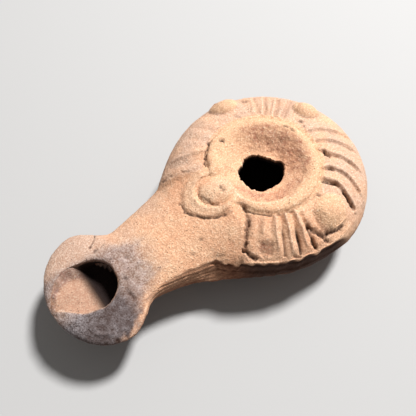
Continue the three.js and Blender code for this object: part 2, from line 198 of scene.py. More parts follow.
# height of the top without its relief; the shoulder is flatter on the near side
def smoothHeight(x, y):
    f = form
    r, degrees, share = placeOf(x, y)
    if share == 0:
        return rimHeight(r, degrees)
    if x >= f["rootX"]:
        return neckTop(x, y)
    flat = f["flatterNear"]
    flatter = flat["by"] * facing(degrees, flat["angle"], *flat["span"])
    fall = mix(math.sqrt(1 - share ** 2), 1 - flat["fall"] * share ** flat["power"], flatter)
    shoulder = f["seamHeight"] + (f["rimFootHeight"] - f["seamHeight"]) * fall
    inside = insidePlate(r, degrees, share)
    soft = mix(*f["plateSoft"], ease(-y, 0, 6))
    if inside < -soft:
        return shoulder
    return mix(shoulder, neckTop(x, y), ease(inside, -soft, soft))


# moulded relief, with lines as (degrees, distance from the disc's middle); a depth below 0 is a ridge, and
# each line's dark share is partly dirt, partly painted shade
relief = {
    "lines": [
        {"line": [(33, 16.6), (37, 18.4), (39.5, 20.5), (39.2, 25.6)],
         "width": 0.8, "depth": 0.6, "dirtAndShade": 0.35},
        {"line": [(65, 17.2), (64.2, 21), (63.5, 26.6)],
         "width": 0.42, "depth": 0.9, "dirtAndShade": 0.6, "outward": True},
        {"line": [(75.5, 17.2), (74, 21), (73, 27)],
         "width": 0.5, "depth": 1.3, "dirtAndShade": 0.95, "outward": True},
        {"line": [(82.5, 18.6), (82.5, 24), (82, 27)],
         "width": 0.45, "depth": 1.2, "dirtAndShade": 0.9, "outward": True},
        {"line": [(46.5, 19.5), (46.5, 25)], "width": 0.7, "depth": 0.3, "dirtAndShade": 0.1},
        {"line": [(50.5, 17.2), (50, 21)], "width": 0.35, "depth": -0.35, "dirtAndShade": 0},
        {"line": [(56, 17.2), (56, 24.5)],
         "width": 0.35, "depth": 0.35, "dirtAndShade": 0.15, "outward": True},
        {"line": [(60, 17.2), (60, 25)], "width": 0.42, "depth": -0.85, "dirtAndShade": 0},
        {"line": [(69.5, 17.0), (68.5, 26.2)], "width": 0.45, "depth": -0.9, "dirtAndShade": 0},
        {"line": [(72.4, 17.0), (71.4, 22)], "width": 0.3, "depth": -0.3, "dirtAndShade": 0},
        {"line": [(79, 16.8), (78, 26)], "width": 0.45, "depth": -0.9, "dirtAndShade": 0},
        {"line": [(125, 17.3), (125.5, 20.4), (122.5, 23.1), (116.5, 27.6)],
         "width": 0.6, "depth": 0.8, "dirtAndShade": 0.5, "lip": 0.7},
        {"line": [(137, 17.4), (139, 19), (136, 22.8), (128.5, 27.6)],
         "width": 0.6, "depth": 0.7, "dirtAndShade": 0.35, "lip": 0.65},
        {"line": [(157, 17.4), (152.5, 19.3), (149, 23), (143, 27.5)],
         "width": 0.6, "depth": 0.75, "dirtAndShade": 0.3, "lip": 0.7},
        {"line": [(169, 17.5), (165, 21.7), (157.5, 27.6)],
         "width": 0.65, "depth": 0.6, "dirtAndShade": 0.2, "lip": 0.5},
        {"line": [(182, 18), (175, 23.7), (168, 28.5)],
         "width": 0.65, "depth": 0.55, "dirtAndShade": 0.15, "lip": 0.45},
        {"line": [(206, 18.6), (205, 22), (205, 24.5)], "width": 0.5, "depth": 0.35, "dirtAndShade": 0.1},
        {"line": [(212, 18), (212, 28.5)], "width": 0.75, "depth": 0.95, "dirtAndShade": 0.2, "lip": 0.3},
        {"line": [(219.5, 17.6), (220, 27)], "width": 0.6, "depth": 0.8, "dirtAndShade": 0.3, "lip": 0.4},
        {"line": [(224.5, 18), (225, 26)], "width": 0.5, "depth": 0.3, "dirtAndShade": 0.1},
        {"line": [(229, 18), (229.5, 27)], "width": 0.6, "depth": 0.75, "dirtAndShade": 0.3, "lip": 0.4},
        {"line": [(236, 18.6), (237, 26.6)], "width": 0.7, "depth": 0.65, "dirtAndShade": 0.2, "lip": 0.3},
        {"line": [(245, 19), (247, 26)], "width": 1.2, "depth": 0.4, "dirtAndShade": 0},
        {"line": [(274, 18.4), (275, 27.6)], "width": 1.3, "depth": 0.25, "dirtAndShade": 0},
        {"line": [(286, 18.2), (288, 27.6)], "width": 1.3, "depth": 0.3, "dirtAndShade": 0},
        {"line": [(297, 18), (300, 27.6)], "width": 1.2, "depth": 0.3, "dirtAndShade": 0},
        {"line": [(308.5, 17.4), (311, 19.4), (315.5, 23), (317, 27)],
         "width": 0.6, "depth": -0.6, "dirtAndShade": 0},
        {"line": [(318, 17.8), (321, 22), (322, 27.6)], "width": 1.7, "depth": 0.6, "dirtAndShade": 0.05},
    ],
    "bosses": [
        {"angle": 104, "radius": 22.9, "across": 5.6, "along": 5.1, "height": 2.2, "softness": 1.05},
        {"angle": 199, "radius": 25, "across": 4.4, "along": 4.1, "height": 2.5, "softness": 0.85},
        {"angle": 260, "radius": 25, "across": 4.8, "along": 4.2, "height": 2.5, "softness": 0.85},
    ],
    "rootBoss": {"x": 16.1, "y": -1.1, "reach": 4.9, "halfWidth": 4.1, "turn": -37,
                 "height": 1.25, "softness": 0.75, "seat": 25.5, "fall": 0.16, "skirt": 1.35, "moat": 0.25},
    "crescentOuter": {"x": 18.1, "y": -2.1, "reach": 8.1, "halfWidth": 7.8, "turn": 0},
    "crescentInner": {"x": 16.3, "y": -1.2, "reach": 5.6, "halfWidth": 4.9, "turn": -37},
    "crescentHeight": 0.85,
    "crescentEnds": (95, 128),
    # how uneven the worn lines are, how far they wander, and where they fade out towards the seam
    "wear": 0.4, "wander": 0.25, "lineEdge": 1.5, "lipAt": 1.5, "lipWidth": 0.7, "ground": 0.25,
    "fadeFar": (0.88, 1), "fadeLeft": (0.7, 0.92), "fadeNear": (0.78, 0.9),
}

# cracks, crevices and broken edges, as places (x, y)
marks = {
    # cracks as (places along it, half width, depth, darkening with dirt and painted shade); a depth below 0
    # is a ridge
    "crevices": [
        ([(13.9, 7.4), (13.3, 9.6), (12.2, 11.2), (10.9, 12.5), (9.2, 14.1)], 0.28, 0.5, 1),
        ([(9.2, 14.1), (7.0, 15.2), (4.0, 16.2)], 0.3, 0.4, 0.7),
        ([(4.0, 16.2), (-1.0, 16.7), (-4.5, 16.4)], 0.35, 0.2, 0.35),
        ([(14.6, 11.6), (16.6, 13.0), (17.6, 14.6), (19.0, 15.9)], 0.3, 0.4, 0.9),
        ([(7.9, -15.1), (9.9, -13.9), (11.6, -12.4), (13.0, -10.6), (14.2, -8.9)], 0.22, 0.55, 1),
        ([(15.2, 11.4), (17.0, 13.3), (18.6, 15.0), (19.9, 16.3)], 0.35, 0.5, 0.6),
        ([(19.9, 16.3), (19.7, 17.7), (18.5, 20.0)], 0.38, 0.9, 1),
        ([(25.9, -4.8), (26.3, -1.8), (25.2, 0.6), (23.2, 3.4), (20.9, 5.3), (18.6, 6.0)], 0.26, 0.4, 0.9),
        ([(18.6, 6.0), (16.6, 6.6)], 0.6, 0.3, 0.4),
        ([(20.4, -2.0), (19.6, 1.2), (17.9, 3.4), (15.6, 4.1)], 0.3, 0.35, 0.6),
        ([(2.5, 21.6), (1.7, 24.0), (0.4, 25.7), (-1.6, 26.1)], 0.6, 1.0, 1),
        ([(-1.6, 26.1), (-3.8, 26.7), (-6.1, 26.6)], 0.4, 0.7, 1),
        ([(3.9, 25.0), (3.5, 26.9)], 0.4, 0.6, 1),
        ([(9.9, 25.2), (9.4, 25.9), (8.6, 26.4)], 0.3, 0.6, 0.9),
        ([(-16.6, 7.0), (-16.4, 8.1), (-16.7, 9.2)], 0.42, 0.9, 1),
        ([(-13.7, 12.0), (-14.4, 13.2)], 0.38, 0.8, 1),
        ([(-9.2, 14.4), (-10.2, 15.5), (-12.0, 16.9)], 0.4, 0.8, 1),
        ([(-12.5, 19.7), (-12.6, 21.6), (-12.4, 23.6)], 0.4, 0.6, 0.8),
        ([(18.8, -11.2), (20.2, -12.5)], 0.3, 0.25, 0.3),
        ([(-3.9, -18.6), (-4.6, -17.0)], 0.35, 0.4, 0.3),
        ([(-6.0, -18.4), (-6.6, -17.2)], 0.3, 0.35, 0.2),
        ([(49.4, -14.2), (50.5, -12.2)], 0.2, 0.4, 0.8),
        ([(51.0, -11.7), (52.0, -10.8), (52.6, -10.2)], 0.24, 0.5, 1),
        ([(51.4, -8.6), (52.0, -8.2)], 0.35, 0.3, 0.7),
        ([(49.2, -9.0), (49.9, -8.4)], 0.28, 0.3, 0.6),
        ([(50.8, 5.9), (50.6, 7.3), (50.3, 8.9)], 0.3, 0.4, 0.5),
        ([(63.2, 10.8), (61.4, 12.2), (59.4, 13.2)], 0.3, -0.3, 0),
        ([(27.2, 12.4), (25.0, 13.6)], 0.3, 0.25, 0.3),
    ],
    # pits as (x, y, reach, depth, darkening with dirt and painted shade)
    "pits": [
        (5.2, -12.9, 0.5, 0.6, 1), (-18.4, -5.0, 0.45, 0.5, 0.9), (-13.2, -5.5, 0.42, 0.45, 0.9),
        (-13.6, -3.4, 0.4, 0.4, 0.8), (-13.5, -4.4, 0.3, 0.3, 0.6), (-17.7, -3.0, 0.35, 0.3, 0.5),
        (-10.9, -22.3, 0.7, 0.5, 0.6), (-23.9, 3.2, 0.5, 0.4, 0.6), (-0.3, 27.2, 0.6, 0.8, 1),
        (-5.3, 16.9, 0.5, 0.4, 0.8), (22.5, -13.9, 0.3, 0.3, 0.35), (24.4, -15.0, 0.35, 0.4, 0.7),
        (9.6, -28.0, 0.4, 0.4, 0.9), (27.4, 7.0, 0.35, 0.35, 0.8), (31.4, 8.6, 0.3, 0.2, 0.5),
        (14.9, -0.6, 0.32, 0.35, 0.9), (15.6, 0.2, 0.28, 0.3, 0.9), (14.6, 0.6, 0.25, 0.25, 0.8),
        (49.4, 3.2, 0.5, 0.3, 0.6), (49.6, -3.7, 0.4, 0.3, 0.7), (46.0, -1.6, 0.4, 0.3, 0.6),
        (69.2, 0.2, 0.4, 0.6, 1), (59.5, 15.0, 0.5, 0.4, 0.9),
    ],
    # where the soot ends on the neck, as (y, x)
    "sootLine": [(-12, 48), (-8, 43.5), (-3.2, 40.1), (1.1, 40.1), (6.1, 40.6), (8.4, 43.5),
                 (10.1, 46.5), (12, 48)],
    "ringChip": {"at": (36.6, 2.3), "reach": 1.0, "depth": 0.2},
    # a square hollow beside the neck, darkened inside with dirt and painted shade
    "squareHollow": {"middle": (15.1, 19.7), "angle": 52.5, "along": 1.6, "across": 1.7,
                     "depth": 0.7, "dirtAndShade": 0.3},
    # the sharp edge between the top and the steep near flank, as (x, y)
    "nearEdge": [(-8, 29.2), (-2, 28.7), (3.1, 28.1), (8.8, 26.8), (14.1, 24.3), (17.2, 22.4),
                 (19.7, 20.6), (22.5, 18.0), (25.0, 15.7), (27.2, 12.9), (31.5, 11.8), (35.5, 10.7),
                 (38.6, 10.2), (42.2, 9.7), (45.3, 10.0)],
    # the share of its depth that the flank keeps, and how far it's drawn in lower down, as (x, share)
    "flankShare": 0.35, "flankLow": [(0, 0.9), (14, 0.7), (22, 0.0)],
    "flankSwell": {"x": 27, "over": 6, "by": 1.6},
    "mouldLines": [
        {"z": 17.0, "width": 0.3, "height": 0.25, "from": 29, "to": 47},
        {"z": 15.9, "width": 0.35, "height": 0.3, "from": 22, "to": 50},
        {"z": 14.7, "width": 0.3, "height": 0.25, "from": 8, "to": 48},
        {"z": 13.6, "width": 0.3, "height": 0.2, "from": 16, "to": 46},
        {"z": 12.3, "width": 0.35, "height": 0.2, "from": 22, "to": 44},
    ],
    # a crack along the seam, darkened with dirt and painted shade
    "seamCrack": {"z": 18.2, "width": 0.35, "depth": 0.5, "dirtAndShade": 0.9, "from": -3, "to": 22},
    "neckBreak": {"x": 25.5, "z": 17.8, "long": 3.0, "high": 0.9, "depth": 0.5},
    "dimple": {"at": (15.0, -0.2), "reach": 1.0, "depth": 0.3},
    "wickHole": {"x": 57.8, "y": -0.9, "round": 7.2, "run": 11.6, "reach": 13, "halfWidth": 9, "turn": 0,
                 "deep": 8.4, "shallow": 0.2, "slope": 3.6, "plainFloor": 10.8, "plainEnd": 17.2,
                 "fuller": 1.5, "fullestAt": 62.6, "fullerOver": 3.2},
}


# distance to a line of points, below 0 on its right side
def distanceToLine(x, y, points):
    best = 1e9
    for (x0, y0), (x1, y1) in zip(points, points[1:]):
        dx, dy = x1 - x0, y1 - y0
        t = clamp(((x - x0) * dx + (y - y0) * dy) / (dx * dx + dy * dy))
        away = math.hypot(x - x0 - t * dx, y - y0 - t * dy)
        if away < abs(best):
            best = away if dx * (y - y0) - dy * (x - x0) > 0 else -away
    return best


def withReach(feature, points, reach):
    xs = [p[0] for p in points]
    ys = [p[1] for p in points]
    feature["points"] = points
    feature["box"] = (min(xs) - reach, max(xs) + reach, min(ys) - reach, max(ys) + reach)
    return feature


# a polar line gets extra points, so that it bends round the disc
def bentLine(line):
    points = []
    for (d0, r0), (d1, r1) in zip(line, line[1:]):
        points += [fromPolar(mix(d0, d1, i / 3), mix(r0, r1, i / 3)) for i in range(3)]
    return points + [fromPolar(*line[-1])]


grooves = [withReach(g, bentLine(g["line"]), 3 * g["width"]) for g in relief["lines"]]
crevices = [withReach({"width": width, "depth": depth, "dirtAndShade": dirtAndShade}, line, 4 * width)
            for line, width, depth, dirtAndShade in marks["crevices"]]


def inBox(box, x, y):
    return box[0] < x < box[1] and box[2] < y < box[3]


def wobble(x, y, size, seed=0.0):
    return noise.noise(Vector((x / size, y / size, seed)))


# height of the ribs and grooves at a share of the way out to the seam, and their darkening with dirt and
# painted shade
def grooveLift(x, y, share):
    wear = relief["wear"]
    cut = ridge = dirtAndShade = 0
    for g in grooves:
        if inBox(g["box"], x, y):
            worn = 1 + wear * wobble(x, y, 3.0, 5.0)
            wander = relief["wander"] * wobble(x, y, 2.5, 6.0)
            away = distanceToLine(x + wander, y, g["points"]) / g["width"]
            near = math.exp(-abs(away) ** relief["lineEdge"]) * worn
            if g["depth"] > 0:
                deeper = mix(0.45, 1, ease(share, 0, 0.5)) if g.get("outward") else 1
                cut = max(cut, g["depth"] * near * deeper)
                ridge = max(ridge, g.get("lip", 0) * bell(away, relief["lipAt"], relief["lipWidth"]) * worn)
            else:
                ridge = max(ridge, -g["depth"] * near)
            if g.get("outward"):
                near *= ease(share, -0.1, 0.55)
            dirtAndShade = max(dirtAndShade, g["dirtAndShade"] * ease(near, 0.35, 0.95))
    onLeft = ease(-y, 4, 14)
    onNear = ease(y, 12, 20) * ease(x, -4, 2)
    ends = zip(relief["fadeFar"], relief["fadeLeft"], relief["fadeNear"])
    fadeFrom, fadeTo = (mix(mix(far, left, onLeft), near, onNear) for far, left, near in ends)
    fade = ease(share, -0.02, 0.06) * (1 - ease(share, fadeFrom, fadeTo))
    return (ridge + relief["ground"] - cut) * fade, dirtAndShade


# depth of the cracks and pits, with ragged sides, and their darkening with dirt and painted shade
def creviceLift(x, y):
    lift = dirtAndShade = 0
    sideways = 0.5 * wobble(x, y, 1.2, 2.0) + 0.2 * wobble(x, y, 0.5, 8.0)
    ragged = 0.6 * wobble(x, y, 0.7, 1.0)
    for c in crevices:
        if inBox(c["box"], x, y):
            width = c["width"] * (1 + 0.5 * wobble(x, y, 1.3, 7.0))
            d = abs(distanceToLine(x + sideways, y - sideways, c["points"])) / width
            near = math.exp(-(max(0, d + ragged) ** 2))
            lift -= c["depth"] * near
            dirtAndShade = max(dirtAndShade, c["dirtAndShade"] * near)
    for pitX, pitY, reach, depth, pitDirtAndShade in marks["pits"]:
        dx, dy = x - pitX, y - pitY
        d = math.hypot(dx + 0.5 * dy, 0.7 * dy) / reach
        if d < 3:
            near = math.exp(-(max(0, d + 2 * ragged) ** 2))
            lift -= depth * near
            dirtAndShade = max(dirtAndShade, pitDirtAndShade * near)
    return lift, dirtAndShade


def bossLift(x, y):
    lift = 0
    for boss in relief["bosses"]:
        cx, cy = fromPolar(boss["angle"], boss["radius"])
        dx, dy = x - cx, y - cy
        if abs(dx) + abs(dy) < 9:
            ca, sa = cx / boss["radius"], cy / boss["radius"]
            outward, sideways = dx * ca + dy * sa, dy * ca - dx * sa
            d = math.hypot(outward / boss["along"], sideways / boss["across"])
            if d < 1:
                lift = max(lift, boss["height"] * (1 - d ** 2) ** boss["softness"])
    return lift


def ovalReach(oval, x, y):
    a = math.radians(oval["turn"])
    dx, dy = x - oval["x"], y - oval["y"]
    lengthwise = dx * math.cos(a) + dy * math.sin(a)
    across = dy * math.cos(a) - dx * math.sin(a)
    return math.hypot(lengthwise / oval["reach"], across / oval["halfWidth"])


# the oval boss and the crescent on the neck's root; the boss covers the rim's foot
def rootLift(x, y, z):
    if not (9 < x < 28 and -12 < y < 9):
        return 0
    boss = relief["rootBoss"]
    d = ovalReach(boss, x, y)
    lift = 0
    if d < boss["skirt"]:
        seat = boss["seat"] - boss["fall"] * (x - boss["x"])
        around = 1 - ease(d, 0.9, boss["skirt"])
        outward = clamp((x - boss["x"] + 0.8 * (y - boss["y"])) / 3)
        moat = boss["moat"] * outward * bell(d, 1.02, 0.09)
        lift = (mix(z, min(z, seat), around) - z) * 0.8 - moat
        if d < 1:
            lift = max(lift, seat + boss["height"] * (1 - d ** 2) ** boss["softness"] - z)
    inner = ovalReach(relief["crescentInner"], x, y) - 1
    outer = 1 - ovalReach(relief["crescentOuter"], x, y)
    if inner > 0 and outer > 0:
        share = inner / (inner + outer)
        middle = relief["crescentInner"]
        turn = math.degrees(math.atan2(y - middle["y"], x - middle["x"]))
        band = ease(share, -0.1, 0.25) * (1 - 0.3 * ease(share, 0.1, 0.7))
        band *= 1 - ease(share, 0.7, 1.0) ** 1.5
        lift += relief["crescentHeight"] * band * (1 - ease(abs(turn), *relief["crescentEnds"]))
    hollow = marks["dimple"]
    d = math.hypot(x - hollow["at"][0], y - hollow["at"][1]) / hollow["reach"]
    return lift - hollow["depth"] * math.exp(-d ** 3)


# 1 in the square hollow beside the neck, 0 outside it
def squareHollow(x, y):
    hollow = marks["squareHollow"]
    dx, dy = x - hollow["middle"][0], y - hollow["middle"][1]
    if abs(dx) + abs(dy) > 6:
        return 0
    ca, sa = fromPolar(hollow["angle"], 1)
    lengthwise = abs(dx * ca + dy * sa) / hollow["along"] + 0.25 * wobble(x, y, 0.9, 3.0)
    across = abs(dy * ca - dx * sa) / hollow["across"] + 0.25 * wobble(y, x, 0.9, 4.0)
    return (1 - ease(lengthwise, 0.6, 1.3)) * (1 - ease(across, 0.6, 1.3))


def ringChip(x, y):
    chip = marks["ringChip"]
    d = math.hypot(x - chip["at"][0], y - chip["at"][1]) / chip["reach"]
    return chip["depth"] * bell(d, 0.75, 0.3) if d < 2.5 else 0


# the worn, grainy skin: unevenness and grains as (size, height), and small pits in patches
skin = {
    "layers": [(4.5, 0.16), (1.9, 0.1), (0.75, 0.075), (0.42, 0.05)],
    "pitSpacing": 1.15, "pitReach": (0.05, 0.32), "pitDepth": 0.16,
    "pitPatch": 3.1, "pitAmount": (0.05, 0.4),
    "plain": 0.75, "dish": (0.55, 0.75),
    "besideBoss": {"x": -0.8, "y": 20.5, "wide": 3.0, "long": 3.2, "by": 1.6},
    "inside": 0.5,  # share of the grain on the reservoir's wall
}


def skinLift(x, y, z):
    place = Vector((x, y, z))
    lift = sum(height * noise.noise(place / size) for size, height in skin["layers"])
    nearest = noise.voronoi(place / skin["pitSpacing"])[0][0]
    patch = noise.noise(place / skin["pitPatch"] + Vector((7, 3, 1)))
    pit = skin["pitDepth"] * (1 - ease(nearest, *skin["pitReach"])) * ease(patch, *skin["pitAmount"])
    return lift - pit


def flankEdge(x):
    return along(marks["nearEdge"], x)


# on the near side, the lines left by the mould, the crack in the seam, darkened with dirt and painted
# shade, and a break on the neck
def sideLift(x, y, z):
    if z > 20 or z < 8 or y < flankEdge(x) + 0.2:
        return 0, 0
    lift = dirtAndShade = 0
    wavy = 0.35 * wobble(x, z, 6.0, 31.0)
    for ridge in marks["mouldLines"]:
        span = ease(x, ridge["from"] - 4, ridge["from"]) * (1 - ease(x, ridge["to"], ridge["to"] + 4))
        lift += ridge["height"] * span * bell(z + wavy, ridge["z"], ridge["width"])
    crack = marks["seamCrack"]
    span = ease(x, crack["from"] - 3, crack["from"]) * (1 - ease(x, crack["to"], crack["to"] + 3))
    near = span * bell(z + wavy, crack["z"], crack["width"]) * (0.6 + 0.7 * wobble(x, z, 2.2, 33.0))
    lift -= crack["depth"] * near
    dirtAndShade = crack["dirtAndShade"] * ease(near, 0.1, 0.6)
    broken = marks["neckBreak"]
    d = math.hypot((x - broken["x"]) / broken["long"], (z - broken["z"]) / broken["high"])
    lift -= broken["depth"] * (1 - ease(d + 0.4 * wobble(x, z, 1.0, 35.0), 0.7, 1.1))
    return lift, dirtAndShade


# the sand of the clay stands out more in the dish and beside the near boss
def coarseness(x, y):
    r, degrees = polarOf(x, y)
    dish = (1 - ease(r, 11, 13.4)) * (skin["dish"][0] + skin["dish"][1] * facing(degrees, 185, -0.2, 0.8))
    rough = skin["besideBoss"]
    besideBoss = bell(x, rough["x"], rough["wide"]) * bell(y, rough["y"], rough["long"])
    return skin["plain"] + dish + rough["by"] * besideBoss


# height of the top with all its relief, and its darkening with dirt and painted shade
def sculptedHeight(x, y):
    r, degrees, share = placeOf(x, y)
    z = smoothHeight(x, y)
    dirtAndShade = 0
    if share > 0 and x < form["rootX"]:
        lift, dirtAndShade = grooveLift(x, y, share)
        inside = insidePlate(r, degrees, share)
        lift *= 1 - ease(inside, 0.4, 1.2)
        dirtAndShade *= 1 - ease(inside, 0.4, 1.2)
        sunk = squareHollow(x, y)
        z += lift + bossLift(x, y) - marks["squareHollow"]["depth"] * sunk
        dirtAndShade = max(dirtAndShade, marks["squareHollow"]["dirtAndShade"] * sunk)
    z += rootLift(x, y, z) - ringChip(x, y)
    lift, creviceDirtAndShade = creviceLift(x, y)
    return z + lift, max(dirtAndShade, creviceDirtAndShade)


# how much fuller the wick hole's near edge is than a straight line to its tip
def wickBulge(x):
    hole = marks["wickHole"]
    return hole["fuller"] * bell(x, hole["fullestAt"], hole["fullerOver"])


# how far a place lies outside the wick hole's outline: round behind, and drawn out to a point at the tip
def wickGap(x, y):
    hole = marks["wickHole"]
    if x < hole["x"]:
        return math.hypot(x - hole["x"], y - hole["y"]) - hole["round"]
    forward = clamp((x - hole["x"]) / hole["run"])
    near = hole["round"] * (1 - forward) + wickBulge(x)
    far = (hole["round"] + ease(forward, 0, 0.4)) * (1 - forward ** 2.8) ** 0.8
    return y - hole["y"] - near if y > hole["y"] else hole["y"] - y - far


firedClay = {
    "voxel": 0.00074,  # metres; smaller ones pass the limit of triangles
    "smoothRounds": 3, "smoothBy": 0.5,
    # ragged edge of the filling hole, as (degrees, distance from the disc's middle)
    "holeEdge": [(0, 7.6), (24, 7.8), (38, 8.0), (50, 7.7), (60, 7.2), (70, 6.8), (80, 6.4), (96, 6.5),
                 (110, 6.2), (144, 6.0), (161, 6.1), (176, 5.9), (182, 4.6), (200, 4.6), (211, 4.4),
                 (240, 4.7), (250, 5.2), (262, 5.8), (290, 6.2), (308, 6.3), (318, 6.5), (330, 7.3),
                 (345, 7.5), (360, 7.6)],
    "holeZone": 11.5,  # how far from the disc's middle the hole's raggedness reaches
    "raggedness": 0.5, "fineRaggedness": 0.25, "crumbs": 0.3, "wickRaggedness": 0.2,
    "seamBand": (0.86, 0.95),  # where, on the way to the seam, relief gives way to the plain curve
}

lampMesh = cadLamp.data.copy()
lampMesh.materials.clear()
work = bmesh.new()
work.from_mesh(lampMesh)
bmesh.ops.remove_doubles(work, verts=work.verts, dist=1e-6)
work.to_mesh(lampMesh)
work.free()
clayLamp = bpy.data.objects.new("firedClayLamp", lampMesh)
scene.collection.objects.link(clayLamp)
remesh = clayLamp.modifiers.new("evenSkin", "REMESH")
remesh.mode = "VOXEL"
remesh.voxel_size = firedClay["voxel"]
depsgraph = bpy.context.evaluated_depsgraph_get()
evenMesh = bpy.data.meshes.new_from_object(clayLamp.evaluated_get(depsgraph))
clayLamp.modifiers.clear()
clayLamp.data = evenMesh
print("even skin", len(evenMesh.polygons))

work = bmesh.new()
work.from_mesh(evenMesh)


def inMillimetres(vert):
    return (1000 * c for c in vert.co)


# the filling hole's wall as the plain copy has it, every 10 degrees
wallAt = [[] for _ in range(36)]
for v in work.verts:
    x, y, z = inMillimetres(v)
    r, degrees = polarOf(x, y)
    if 20.2 < z < 22 and r < 8.5:
        wallAt[int(degrees / 10)].append(r)
wallEdge = [(10 * i + 5, sum(found) / len(found)) for i, found in enumerate(wallAt) if found]
first, last = wallEdge[0], wallEdge[-1]
wallEdge = [(last[0] - 360, last[1])] + wallEdge + [(first[0] + 360, first[1])]
print("hole wall", len(wallEdge))

# what lies near it is drawn to the ragged edge, and the wick hole's near side is made fuller
for v in work.verts:
    x, y, z = inMillimetres(v)
    r, degrees = polarOf(x, y)
    if 17.5 < z and 3 < r < firedClay["holeZone"]:
        wall = along(wallEdge, degrees)
        target = along(firedClay["holeEdge"], degrees) + firedClay["raggedness"] * wobble(x, y, 0.8, 21.0)
        target += firedClay["fineRaggedness"] * wobble(x, y, 0.45, 22.0)
        moved = (r + (target - wall) * (1 - ease(r, wall + 0.3, firedClay["holeZone"]))) / r
        v.co.x *= moved
        v.co.y *= moved
    if z > 10.5 and 56 < x < 70 and y > -1.5:
        away = abs(wickGap(x, y) + wickBulge(x))
        outward = wickBulge(x) + firedClay["wickRaggedness"] * wobble(x, y, 1.1, 23.0)
        v.co.y += 0.001 * outward * (1 - ease(away, 0.4, 4.6))
for _ in range(firedClay["smoothRounds"]):
    bmesh.ops.smooth_vert(work, verts=work.verts, factor=firedClay["smoothBy"],
                          use_axis_x=True, use_axis_y=True, use_axis_z=True)
work.normal_update()


def onTop(vert):
    x, y, z = inMillimetres(vert)
    return vert.normal.z > 0.1 and z > 14.5 and z > smoothHeight(x, y) - 2.2


def onNearSide(vert):
    x, y, z = inMillimetres(vert)
    return z > 9 and y > 8 and vert.normal.y > 0.3 and -8 < x < 56 and abs(y) > halfWidth(x) - 2.5


def atHoleEdge(vert):
    x, y, z = inMillimetres(vert)
    return z > 20.5 and math.hypot(x, y) < 9.5 or z > 12 and ovalReach(marks["wickHole"], x, y) < 1.1


def inWickHole(x, y):
    return 48 < x < 70 and wickGap(x, y) < 0.8


# its floor climbs to the surface at the tip, with a broken slope along the far side
def wickFloor(x, y):
    hole = marks["wickHole"]
    forward = clamp((x - hole["x"]) / hole["run"])
    floor = neckTop(x, y) - mix(hole["deep"], hole["shallow"], ease(forward, -0.6, 1) ** 0.8)
    slope = -wickGap(x, y) / hole["slope"] if y < hole["y"] else 1
    rough = wobble(x, y, 2.0, 40.0) + 0.8 * (1 - ease(slope, 0.5, 1)) * wobble(x, y, 0.9, 41.0)
    return mix(neckTop(x, y) - 0.3, floor, ease(slope, -0.1, 1)) + 0.25 * rough


topVerts = {v for v in work.verts if onTop(v) or onNearSide(v) or atHoleEdge(v)}
topEdges = {e for v in topVerts for e in v.link_edges}
bmesh.ops.subdivide_edges(work, edges=list(topEdges), cuts=1, use_grid_fill=True)
work.verts.index_update()
work.normal_update()
print("top refined", sum(len(f.verts) - 2 for f in work.faces))


# a point of the shoulder as shares of the way out to the seam and up to the rim's foot
def onShoulder(x, y, z):
    r, degrees = polarOf(x, y)
    foot = rimFoot(degrees)
    out = (r - foot) / (outlineAt(degrees) - foot)
    up = (z - form["seamHeight"]) / (form["rimFootHeight"] - form["seamHeight"])
    return out, up, r, degrees


# how far a point belongs to the outside, so that the reservoir's inner skin stays plain
def outsideShare(x, y, z):
    if x > 50:
        return 1
    if z > form["seamHeight"]:
        outside = ease(z - smoothHeight(x, y), -2.0, -1.0)
        out, up = onShoulder(x, y, z)[:2]
        return max(outside, ease(math.hypot(out, up), 0.84, 0.9)) if out > 0.7 else outside
    if x > form["rootX"]:
        return 1
    climb = clamp(z / form["seamHeight"])
    reach = math.hypot(x + form["setBack"] * climb, y)
    bowl = form["bodyRadius"] / 2 * (1 + math.sin(math.acos(1 - climb)) ** 1.9)
    return ease(reach - bowl, -2.4, -1.2)
